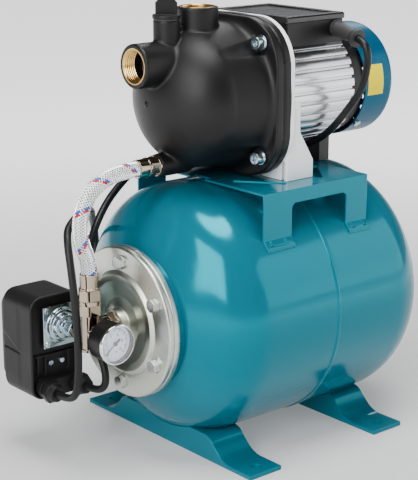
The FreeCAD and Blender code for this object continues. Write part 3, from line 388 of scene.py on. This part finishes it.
class Field:
    """A grid of signed distances in mm: shapes are joined and cut smoothly, then skinned."""

    def __init__(self, low, high, step):
        axes = [np.arange(a - 2 * step, b + 2 * step, step, dtype=np.float32) for a, b in zip(low, high)]
        self.low = np.array([axis[0] for axis in axes])
        self.step = step
        self.x, self.y, self.z = np.meshgrid(*axes, indexing="ij", sparse=True)
        self.value = np.full([len(axis) for axis in axes], 1e3, dtype=np.float32)

    def along(self, axis):
        """The coordinate along an axis, then the other two in order."""
        across = {"X": (self.y, self.z), "Y": (self.x, self.z), "Z": (self.x, self.y)}
        return {"X": self.x, "Y": self.y, "Z": self.z}[axis], *across[axis]

    @staticmethod
    def capped(side, length, start, end, ease):
        """Distance to a prism: side is the distance to its sides less the ease of its edges."""
        ends = np.abs(length - (start + end) / 2) - abs(end - start) / 2 + ease
        inside = np.minimum(np.maximum(side, ends), 0)
        return inside + np.hypot(np.maximum(side, 0), np.maximum(ends, 0)) - ease

    def rod(self, axis, start, end, centre, radius, radius_end=None, ease=0.0):
        """A rod or cone from start to end along an axis; centre is in the other two axes, in order."""
        length, first, second = self.along(axis)
        out = np.sqrt((first - centre[0]) ** 2 + (second - centre[1]) ** 2)
        if radius_end is not None:
            share = np.clip((length - start) / (end - start), 0, 1)
            radius = radius + (radius_end - radius) * share
        return self.capped(out - radius + ease, length, start, end, ease)

    def egg(self, centre, radii):
        """An ellipsoid."""
        offsets = [c - m for c, m in zip((self.x, self.y, self.z), centre)]
        near = np.sqrt(sum((offset / r) ** 2 for offset, r in zip(offsets, radii)))
        far = np.sqrt(sum((offset / r ** 2) ** 2 for offset, r in zip(offsets, radii)))
        return near * (near - 1) / np.maximum(far, 1e-4)

    def slab(self, low, high, ease=0.0):
        """A box between two corners."""
        gaps = [np.abs(c - (a + b) / 2) - (b - a) / 2 + ease
                for c, a, b in zip((self.x, self.y, self.z), low, high)]
        outside = np.sqrt(sum(np.maximum(gap, 0) ** 2 for gap in gaps))
        return np.minimum(np.maximum(np.maximum(gaps[0], gaps[1]), gaps[2]), 0) + outside - ease

    def plate(self, axis, start, end, centre, half, corner, ease=0.0):
        """A rounded rectangle between two levels of an axis; half is its half sizes."""
        length, first, second = self.along(axis)
        one = np.abs(first - centre[0]) - half[0] + corner
        two = np.abs(second - centre[1]) - half[1] + corner
        side = np.hypot(np.maximum(one, 0), np.maximum(two, 0)) + np.minimum(np.maximum(one, two), 0)
        return self.capped(side - corner + ease, length, start, end, ease)

    def join(self, shape, blend=0.0):
        """Add a shape, with a fillet about as wide as the blend."""
        if blend:
            share = np.maximum(blend - np.abs(self.value - shape), 0) / blend
            self.value = np.minimum(self.value, shape) - share * share * blend / 4
        else:
            self.value = np.minimum(self.value, shape)

    def cut(self, shape, blend=0.0):
        """Take a shape away, with its edges rounded by the blend."""
        if blend:
            share = np.maximum(blend - np.abs(self.value + shape), 0) / blend
            self.value = np.maximum(self.value, -shape) + share * share * blend / 4
        else:
            self.value = np.maximum(self.value, -shape)

    def skin(self, name):
        """Surface nets: one vertex in each cell the surface crosses."""
        value = self.value
        nx, ny, nz = value.shape
        inside = value < 0
        total = np.zeros((nx - 1, ny - 1, nz - 1, 3), dtype=np.float32)
        count = np.zeros((nx - 1, ny - 1, nz - 1), dtype=np.float32)
        corners = [(i, j, k) for i in (0, 1) for j in (0, 1) for k in (0, 1)]

        def corner(array, c):
            return array[c[0]:nx - 1 + c[0], c[1]:ny - 1 + c[1], c[2]:nz - 1 + c[2]]

        for a in corners:
            for axis in range(3):
                if a[axis]:
                    continue
                b = tuple(1 if i == axis else a[i] for i in range(3))
                va, vb = corner(value, a), corner(value, b)
                crossed = corner(inside, a) != corner(inside, b)
                share = np.where(crossed, va / np.where(crossed, va - vb, 1), 0)
                for i in range(3):
                    total[..., i] += np.where(crossed, a[i] + (share if i == axis else 0), 0)
                count += crossed
        used = count > 0
        index = np.full(count.shape, -1, dtype=np.int64)
        index[used] = np.arange(used.sum())
        cells = np.argwhere(used)
        verts = (cells + total[used] / count[used][:, None]) * self.step + self.low
        faces = []
        for axis in range(3):
            one, two = [i for i in range(3) if i != axis]
            span = [slice(1, -1)] * 3
            span[axis] = slice(0, -1)
            ahead = list(span)
            ahead[axis] = slice(1, None)
            here, there = inside[tuple(span)], inside[tuple(ahead)]
            spots = np.argwhere(here != there)
            solid = here[tuple(spots.T)]
            spots = spots + np.array([0 if i == axis else 1 for i in range(3)])
            quad = []
            for shift in ((0, 0), (1, 0), (1, 1), (0, 1)):
                cell = spots.copy()
                cell[:, one] -= shift[0]
                cell[:, two] -= shift[1]
                quad.append(index[tuple(cell.T)])
            quad = np.stack(quad, axis=1)
            flip = solid if axis != 1 else ~solid
            quad[~flip] = quad[~flip][:, ::-1]
            faces.append(quad)
        return new_mesh(name, (verts * MM).tolist(), np.concatenate(faces).tolist())


# ---------------------------------------------------------------- cords

MOTOR_LEAD = [
    (73.1, -95.2, 425.7), (71.8, -107, 422), (74, -109, 407), (79.5, -102, 394), (82, -96, 378),
    (81, -88, 364), (80, -76, 349), (75, -66, 334), (75, -52, 321), (75, -37, 311), (66, -10, 297),
    (60, 28, 292), (52, 62, 289), (34, 88, 288), (4, 95, 288), (-26, 93, 288.5), (-55, 84, 289),
    (-85, 74, 286), (-113, 64, 276), (-138, 54, 264), (-158, 44, 251), (-174, 36, 235), (-184, 31, 215),
    (-188, 29, 190), (-188, 28, 162), (-187.5, 24, 136), (-187.5, 12, 116), (-188.5, 0, 99), (-190.5, -4, 83),
    (-192, 8, 73.5), (-192.5, 27, 73)]
MAINS_LEAD = [
    (-229, 27, 73), (-229, 12, 73.5), (-229, -3, 79), (-230, -11, 95), (-230, -13, 125), (-231.5, -14, 160),
    (-234, -13, 197), (-233, -7, 222), (-230, 1, 239), (-222, 13, 250), (-209, 21, 256), (-195, 29, 259),
    (-178, 40, 258), (-160, 58, 252), (-143, 82, 238), (-120, 110, 218), (-101, 134, 188), (-88, 152, 152),
    (-78, 163, 112), (-66, 171, 74), (-50, 177, 38), (-28, 180, 13), (4, 179, 5), (42, 178.2, 4.3)]
HOSE = [(-145, 0, 303), (-160, 0, 303), (-176, 0, 301), (-191, 0, 295.5), (-204, 0, 286), (-213, 0, 271),
        (-216, 0, 253), (-214, 0, 236), (-208, 0, 223), (-206, 0, 213), (-206, 0, 205)]
CABLE_RADIUS = 4 * MM
HOSE_RADIUS = 8.3 * MM
COIL_CENTRE = (60, 222)
COIL_RADII = (44, 36)
COIL_LAYERS = (4.3, 12.5)
TURN_STEPS = 16
CHANGE_STEPS = 4        # the last steps of a turn lead over to the next one
BRAID_DEPTH = 0.9 * MM


def coil_points():
    """Two turns side by side on the floor, then two on top of them, wound anticlockwise."""
    points = []
    turns = [(COIL_RADII[0], COIL_LAYERS[0]), (COIL_RADII[1], COIL_LAYERS[0]),
             (COIL_RADII[1], COIL_LAYERS[1]), (COIL_RADII[0], COIL_LAYERS[1])]
    for number, (radius, height) in enumerate(turns):
        after = turns[min(number + 1, len(turns) - 1)]
        for step in range(TURN_STEPS):
            blend = max(0.0, step - TURN_STEPS + CHANGE_STEPS) / CHANGE_STEPS
            r = radius + (after[0] - radius) * blend
            z = height + (after[1] - height) * blend
            turn = math.radians(-90 + 360 * (step + 1) / TURN_STEPS)
            points.append((COIL_CENTRE[0] + r * math.cos(turn), COIL_CENTRE[1] + r * math.sin(turn), z))
    return points


def cord_curve(name, points, radius, slot, look=None):
    """A round cord along a clamped quadratic spline, with its control points in mm."""
    curve = bpy.data.curves.new(name, "CURVE")
    curve.dimensions = "3D"
    curve.bevel_depth = radius
    curve.bevel_resolution = 6
    curve.resolution_u = 8
    curve.use_fill_caps = True
    spline = curve.splines.new("NURBS")
    spline.points.add(len(points) - 1)
    for point, place in zip(spline.points, points):
        point.co = (*(Vector(place) * MM), 1)
    spline.order_u = 3
    spline.use_endpoint_u = True
    curve.materials.append(FINISH[look or slot])
    piece = bpy.data.objects.new(name, curve)
    SCENE.collection.objects.link(piece)
    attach(piece, "frame")
    return piece


def make_cords():
    """The two cables and the braided hose, with the pieces at their ends."""
    hose_ends = softened("hose_fittings", 0.4)
    plug = softened("mains_plug", 0.8)
    motor = cord_curve("motor_flex", MOTOR_LEAD, CABLE_RADIUS, "cable")
    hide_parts("motor_lead")
    tail = [(78, 179, 13), (88, 181, 14)]
    mains = cord_curve("mains_flex", MAINS_LEAD + coil_points() + tail, CABLE_RADIUS, "cable")
    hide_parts("mains_lead", "mains_coil")
    hose = cord_curve("hose_core", HOSE, HOSE_RADIUS - BRAID_DEPTH, "braid", look="hose_core")
    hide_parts("hose")
    make_braid()


# ---------------------------------------------------------------- vessel

VESSEL_RADIUS = 135
SEAM = 15               # x of the seam between the two halves


def head_profile(side, inset, last_out):
    """(x, out) points of a dished half, inset from its outside, from the seam to a last radius."""
    radius, knuckle, crown, straight = VESSEL_RADIUS - inset, 60 - inset, 190 - inset, 92
    arc_steps = 16
    centre_out = radius - knuckle
    crown_x = straight - math.sqrt((crown - knuckle) ** 2 - centre_out ** 2)
    meet = math.atan2(centre_out, straight - crown_x)
    points = [(SEAM, radius), (SEAM + side * straight, radius)]
    for step in range(1, arc_steps + 1):
        turn = math.pi / 2 + (meet - math.pi / 2) * step / arc_steps
        reach = straight + knuckle * math.cos(turn)
        points.append((SEAM + side * reach, centre_out + knuckle * math.sin(turn)))
    final = math.asin(last_out / crown)
    for step in range(1, arc_steps + 1):
        turn = meet + (final - meet) * step / arc_steps
        points.append((SEAM + side * (crown_x + crown * math.cos(turn)), crown * math.sin(turn)))
    return points


def make_vessel():
    """Both halves, the seam's bead, the feet and the platform."""
    centre = (0, 0, LEVEL)
    wall, collar, mouth, valve = 2, 76, 58, 4.5
    outer, inner = head_profile(-1, 0, collar), head_profile(-1, wall, mouth)
    front = outer + [(-156, collar), (-156, mouth), (-140, mouth)] + inner[::-1] + [outer[0]]
    turned("front_shell", front, centre, (1, 0, 0), "teal_enamel", "tank_front_shell", steps=192, ease=0)
    outer, inner = head_profile(1, 0, valve), head_profile(1, wall, valve)
    rear = outer + inner[::-1] + [outer[0]]
    turned("rear_shell", rear, centre, (1, 0, 0), "teal_enamel", "tank_rear_shell", steps=192, ease=0)
    rise = [(-2.5, 0), (-2.1, 0.7), (-1.1, 1.15), (0, 1.2), (1.1, 1.15), (2.1, 0.7), (2.5, 0), (-2.5, 0)]
    bead = [(SEAM + along, VESSEL_RADIUS + out) for along, out in rise]
    turned("weld_seam", bead, centre, (1, 0, 0), "teal_enamel", "tank_weld_seam", steps=256, ease=0)
    for node in ("front_foot", "rear_foot"):
        softened(node, 0.9, 3)
    softened("platform", 0.7)


def make_flange():
    """The counter-flange with its neck, dished middle and grooved rim."""
    front, end, bore = -166, -177, 12.5
    profile = [
        (end, bore), (end, 15.5), (-169, 16), (front - 2.2, 17.5), (front - 0.5, 22), (front + 0.6, 27),
        (front - 1.2, 36), (front - 3.5, 44), (front - 3.5, 51), (front - 1.5, 53.5), (front, 55),
        (front, 77.5), (front + 0.6, 78.9), (front + 2, 79.5), (front + 6, 79.5), (front + 6.4, 78.9),
        (front + 7.2, 78.9), (front + 7.6, 79.5), (front + 13, 79.5), (front + 13, 76.5),
        (front + 3, 76.5), (front + 3, 56), (front + 3, 30), (front + 4.5, 20), (front + 4.5, bore),
        (end, bore)]
    mesh = turned_mesh("flange", profile, (0, 0, LEVEL), (1, 0, 0), 160, 0.5)
    mesh.materials.append(FINISH["zinc_yellow"])
    mesh.materials.append(FINISH["zinc_dish_tone_and_shade"])
    # The dished middle takes the darker, greener zinc: painted shade in the recess, with a greener tone
    dish_from, dish_to = 18, 52
    for face in mesh.polygons:
        out = math.hypot(face.center.y, face.center.z - LEVEL * MM) / MM
        face.material_index = 1 if dish_from < out < dish_to else 0
    add_piece("flange", mesh, "zinc", "tank_flange")
    softened("flange_bolts", 0.45)


# ---------------------------------------------------------------- pump

BOWL = (-72, 0, SHAFT)
BOWL_RADII = (54, 71.5, 71.5)
CASING_WALL = 5
REAR_RADIUS = 79.5      # where the bowl has widened to meet the flange
PORT_LEVEL = 407        # height of the suction port's axis
PORT_FACE = -146.4
FILLER_X = -104.5
DISCHARGE_X = -64
OUTLET_LEVEL = 303      # height of the hose's outlet
BOLT_REACH = 59         # of the four bolts from the shaft, across and up
# Radii in the two ports: round the brass insert, below it and further in.
THREAD_ROOM, THREAD_END, WATERWAY = 18.4, 15.2, 13.5


def parting_groove(f):
    """The parting groove round the flange's edge."""
    ring = f.plate("X", -19.6, -17.9, (0, SHAFT), (90, 90), 55)
    core = f.plate("X", -25, -12, (0, SHAFT), (81.2, 81.2), 48.8)
    return np.maximum(ring, -core)


def join_casing_body(f):
    """The bowl, its flange, the neck and the bosses, solid."""
    f.join(f.egg(BOWL, BOWL_RADII))
    f.join(f.rod("X", BOWL[0], -9, (0, SHAFT), BOWL_RADII[1], REAR_RADIUS))
    f.join(f.plate("X", -28.5, -9, (0, SHAFT), (82.4, 82.4), 50, 0.9), 8)
    f.join(f.rod("X", PORT_FACE, -70, (0, PORT_LEVEL), 22.5, ease=1.2), 3)
    f.join(f.rod("Z", 405, 449.9, (FILLER_X, 0), 13.4, ease=0.6), 2)
    f.join(f.rod("Z", 405, 460.9, (DISCHARGE_X, 0), 21.5, ease=1.0), 2.5)
    # the web between the filler boss and the discharge boss
    f.join(f.slab((-97, -2, 420), (-70, 2, 443), 0.8), 2)
    f.join(f.rod("X", -119, -80, (0, OUTLET_LEVEL), 12, ease=0.8), 5)
    # the mark left by the mould's gate
    f.join(f.egg((-125.2, 7.5, 366), (2.4, 2.4, 2.4)), 1.0)


def cut_casing_inside(f):
    """The bowl's inside, the ports and the filler's and outlet's bores."""
    f.cut(f.egg(BOWL, [radius - CASING_WALL for radius in BOWL_RADII]))
    f.cut(f.rod("X", BOWL[0], -5, (0, SHAFT), BOWL_RADII[1] - CASING_WALL, 71))
    f.cut(f.rod("X", -160, -133.4, (0, PORT_LEVEL), THREAD_ROOM))
    f.cut(f.rod("X", -134, -124.5, (0, PORT_LEVEL), THREAD_END))
    f.cut(f.rod("X", -125, -66, (0, PORT_LEVEL), WATERWAY))
    f.cut(f.rod("Z", 412, 460, (FILLER_X, 0), 10.5))
    f.cut(f.rod("Z", 448.4, 470, (DISCHARGE_X, 0), THREAD_ROOM))
    f.cut(f.rod("Z", 439, 449, (DISCHARGE_X, 0), THREAD_END))
    f.cut(f.rod("Z", 401, 440, (DISCHARGE_X, 0), WATERWAY))
    f.cut(f.rod("X", -150, -119, (0, OUTLET_LEVEL), 11.4))
    f.cut(f.rod("X", -120, -59, (0, OUTLET_LEVEL), 8))


def make_casing():
    """The moulded casing, with recesses for the heads of its four bolts."""
    f = Field((-147.5, -83, 284), (-8.5, 83, 462), 1.2)
    join_casing_body(f)
    f.cut(parting_groove(f))
    cut_casing_inside(f)
    for side in (-1, 1):
        for up in (-1, 1):
            spot = (side * BOLT_REACH, SHAFT + up * BOLT_REACH)
            f.cut(f.rod("X", -76, -28.5, spot, 11.5, ease=2), 3)
            f.cut(f.rod("X", -80, 0, spot, 4.4))
    add_piece("casing", f.skin("casing"), "black_plastic", "pump_casing", sharp=50)


def make_inserts():
    """The brass rings with a G1 thread in the suction and discharge ports."""
    outside, depth = 18.3, 13
    for name, node, place, axis, lip in (
            ("suction_ring", "suction_insert", (-146.45, 0, PORT_LEVEL), (1, 0, 0), 0.6),
            ("discharge_ring", "discharge_insert", (DISCHARGE_X, 0, 461.5), (0, 0, -1), 0.7)):
        profile = [(0, outside), (0, 17), (lip, 16.6)] + threads(1, 12.6, 16.5, 15.15)
        profile += [(depth, THREAD_END), (depth, outside), (0, outside)]
        turned(name, profile, place, axis, "brass", node, ease=0.2)


def make_pump():
    """The casing with its inserts, bolts and plug, and the bracket."""
    make_casing()
    make_inserts()
    softened("casing_bolts", 0.4, look="zinc_blue")
    softened("filler_plug", 0.7, 3)
    softened("motor_bracket", 0.8)
    softened("foot_bolts", 0.4, look="zinc_blue")


# ---------------------------------------------------------------- motor

def make_label():
    """A plain yellow sticker on the side of the fan cover."""
    radius, first, sweep, steps = 61.62, 70, 31, 12
    verts, faces = [], []
    for step in range(steps + 1):
        turn = math.radians(first + sweep * step / steps)
        for x in (126, 149.5):
            verts.append(Vector((x, -radius * math.sin(turn), SHAFT + radius * math.cos(turn))) * MM)
    for step in range(steps):
        faces.append((2 * step, 2 * step + 1, 2 * step + 3, 2 * step + 2))
    add_piece("sticker", new_mesh("sticker", verts, faces), "teal_cover", look="yellow_label")


def make_motor():
    """The fan cover with its sticker, the finned frame and the terminal box."""
    make_label()
    softened("fan_cover", 0.4)
    softened("motor_frame", 0.35)
    softened("terminal_box", 0.8)
    softened("terminal_box_lid", 0.7, look="lid_plastic")
    softened("fan_cover_screws", 0.3)


# ---------------------------------------------------------------- front fittings

BRAID_TWIST = 35.0      # length of one turn of a bundle
CARRIERS = 12           # bundles each way round
BRAID_RADIUS, BRAID_LIMIT, BRAID_LIFT = 7.85, 8.28, 0.28
PAINTS = {3: 1, 4: 2}   # bundles wound one way that are red and blue
ACROSS = (-1.0, -0.75, -0.5, -0.25, 0.0, 0.25, 0.5, 0.75, 1.0)
WIRE_RELIEF = (-0.3, 0.1, -0.12, 0.12, -0.12, 0.12, -0.12, 0.1, -0.3)


def quadratic_spline(points, count):
    """Samples of a clamped quadratic B-spline, as the curve object draws it."""
    spots = [np.array(point, dtype=float) for point in points]
    spans = len(spots) - 2
    knots = [0, 0, 0] + list(range(1, spans)) + [spans] * 3
    samples = []
    for number in range(count):
        t = min(spans * number / (count - 1), spans - 1e-9)
        k = int(t) + 2
        d = [spots[i] for i in range(k - 2, k + 1)]
        for r in (1, 2):
            for i in range(2, r - 1, -1):
                low, high = knots[i + k - 2], knots[i + 1 + k - r]
                share = 0 if high == low else (t - low) / (high - low)
                d[i] = (1 - share) * d[i - 1] + share * d[i]
        samples.append(d[2])
    return np.array(samples)


def hose_stations():
    """Evenly spaced places along the hose: distance, spot and two directions across."""
    line = quadratic_spline(HOSE, 220)
    gaps = np.linalg.norm(np.diff(line, axis=0), axis=1)
    lengths = np.concatenate([[0], np.cumsum(gaps)])
    total, spacing = lengths[-1], 0.9
    places = np.linspace(0, total, int(total / spacing))
    spots = np.stack([np.interp(places, lengths, line[:, i]) for i in range(3)], axis=1)
    ahead = np.gradient(spots, axis=0)
    ahead /= np.linalg.norm(ahead, axis=1)[:, None]
    side = np.tile([0.0, 1.0, 0.0], (len(places), 1))
    return list(zip(places, spots, side, np.cross(ahead, side)))


def bundle_points(stations, way, carrier, half):
    """One flat bundle of wires, passing over and under those wound the other way."""
    points = []
    for place, spot, one, two in stations:
        phase = 2 * carrier + way * 2 * CARRIERS * place / BRAID_TWIST
        lift = way * BRAID_LIFT * math.cos(math.pi / 2 * phase - math.pi / 4)
        turn = way * 2 * math.pi * place / BRAID_TWIST + 2 * math.pi * carrier / CARRIERS
        for share, relief in zip(ACROSS, WIRE_RELIEF):
            angle = turn + share * half
            radius = min(BRAID_RADIUS + lift + relief, BRAID_LIMIT)
            points.append((spot + radius * (one * math.cos(angle) + two * math.sin(angle))) * MM)
    return points


def make_braid():
    """Flat bundles of wire woven over the hose, two of them coloured."""
    stations = hose_stations()
    width = len(ACROSS)
    verts, faces, paints = [], [], []
    for way in (1, -1):
        for carrier in range(CARRIERS):
            first = len(verts)
            paint = PAINTS.get(carrier, 0) if way == 1 else 0
            half = (0.5 if paint else 0.275) * 2 * math.pi / CARRIERS
            verts += bundle_points(stations, way, carrier, half)
            for row in range(len(stations) - 1):
                for column in range(width - 1):
                    a = first + row * width + column
                    faces.append((a, a + 1, a + width + 1, a + width))
                    paints.append(paint)
    mesh = new_mesh("braid", verts, faces)
    for look in ("braid", "braid_red", "braid_blue"):
        mesh.materials.append(FINISH[look])
    mesh.polygons.foreach_set("material_index", paints)
    face_outward(mesh)
    return add_piece("braid", mesh, "braid", sharp=60)


def make_fittings():
    """The manifold, the needle and the switch's small parts."""
    softened("five_way_fitting", 0.45)
    softened("gauge_needle", 0.1, 1)
    softened("switch_flange", 0.5, 3, look="zinc_blue")
    softened("switch_screws", 0.2, look="zinc_blue")
    softened("switch_base", 0.5)
    softened("cable_glands", 0.5)


def make_switch_cover():
    """The switch's hollow cover: a skirt, a raised face and a wedge-shaped recess in its side."""
    f = Field((-247.2, 47.5, 61.5), (-182.5, 110.5, 174.5), 1.0)
    skirt, raised = (-215, 118), (-216, 119)
    f.join(f.plate("Y", 48, 100, skirt, (31.4, 55.6), 14, 1.5))
    f.join(f.plate("Y", 70, 109.9, raised, (28, 50), 16, 5), 6)
    f.cut(f.plate("Y", 40, 97.5, skirt, (29, 53), 11.5))
    f.cut(f.plate("Y", 90, 107.4, raised, (25.5, 47.5), 13.5, 4))
    wedge_start, wedge_level, wedge_bottom = 67, 110, -245.6
    along = f.y - wedge_start
    wedge = np.maximum(f.z - wedge_level - 0.54 * along, wedge_level + 0.04 * along - f.z)
    f.cut(np.maximum(np.maximum(wedge, -along), f.x - wedge_bottom))
    add_piece("switch_shell", f.skin("switch_shell"), "switch_plastic", "switch_cover", sharp=50)


DIAL_LEVEL = -41.1      # y of the dial's face
SCALE_SWEEP = 270       # degrees from 0 to 10
# Numerals are drawn with the seven strokes of a digital figure, one unit wide and two high.
STROKES = {"a": ((0, 2), (1, 2)), "b": ((1, 1), (1, 2)), "c": ((1, 0), (1, 1)), "d": ((0, 0), (1, 0)),
           "e": ((0, 0), (0, 1)), "f": ((0, 1), (0, 2)), "g": ((0, 1), (1, 1))}
NUMERALS = {"0": "abcdef", "1": "bc", "2": "abged", "4": "fgbc", "6": "afedcg", "8": "abcdefg"}


def dial_line(verts, faces, start, end, half):
    """A thin rectangle on the dial between two (across, up) points from its middle."""
    start, end = Vector(start), Vector(end)
    ahead = (end - start).normalized()
    side = Vector((-ahead.y, ahead.x)) * half
    for point in (start - side, end - side, end + side, start + side):
        verts.append(Vector((GAUGE_MIDDLE[0] + point.x, DIAL_LEVEL, GAUGE_MIDDLE[1] + point.y)) * MM)
    faces.append(tuple(range(len(verts) - 4, len(verts))))


def dial_spot(share, distance):
    """The (across, up) point at a share of the scale's sweep."""
    turn = math.radians((share - 0.5) * SCALE_SWEEP)
    return Vector((math.sin(turn), math.cos(turn))) * distance


def make_dial_marks():
    """Ticks, the arc round them and the numerals 0 to 10."""
    verts, faces = [], []
    ticks, arcs, labels = 40, 60, ("0", "2", "4", "6", "8", "10")
    for number in range(ticks + 1):
        inner, half = (12.4, 0.3) if number % 4 == 0 else (13.7, 0.14)
        dial_line(verts, faces, dial_spot(number / ticks, inner), dial_spot(number / ticks, 15.4), half)
    for number in range(arcs):
        dial_line(verts, faces, dial_spot(number / arcs, 15.6), dial_spot((number + 1) / arcs, 15.6), 0.2)
    width, height, advance = 1.2, 1.3, 2
    for number, text in enumerate(labels):
        corner = dial_spot(number / (len(labels) - 1), 9.6) - Vector((1.0 * len(text) - 0.4, height))
        for place, letter in enumerate(text):
            for stroke in NUMERALS[letter]:
                start, end = [corner + Vector((width * across + advance * place, height * up))
                              for across, up in STROKES[stroke]]
                dial_line(verts, faces, start, end, 0.22)
    add_piece("dial_marks", new_mesh("dial_marks", verts, faces), "black_plastic")


def make_gauge():
    """The bezel, the dial's two rivets and its marks."""
    across, up = GAUGE_MIDDLE
    bezel = [(0, 19), (0, 19.9), (0.8, 20.8), (3.2, 20.9), (3.6, 20.5), (3.6, 20.2), (1.2, 20.2), (1.2, 19),
             (0, 19)]
    turned("gauge_rim", bezel, (across, -47.9, up), (0, 1, 0), "chrome", "gauge_bezel")
    rivet = [(0, 0), (0, 0.9), (0.25, 1.2), (0.5, 1.2)]
    for number, (aside, above) in enumerate(((-8.5, -10.3), (2.1, -9.2))):
        start = (across + aside, DIAL_LEVEL - 0.4, up + above)
        turned("dial_rivet_%d" % number, rivet, start, (0, 1, 0), "brass", steps=24, ease=0)
    make_dial_marks()


make_camera()
make_studio()
dress_nodes()
make_vessel()
make_flange()
make_pump()
make_motor()
make_fittings()
make_switch_cover()
make_gauge()
make_cords()
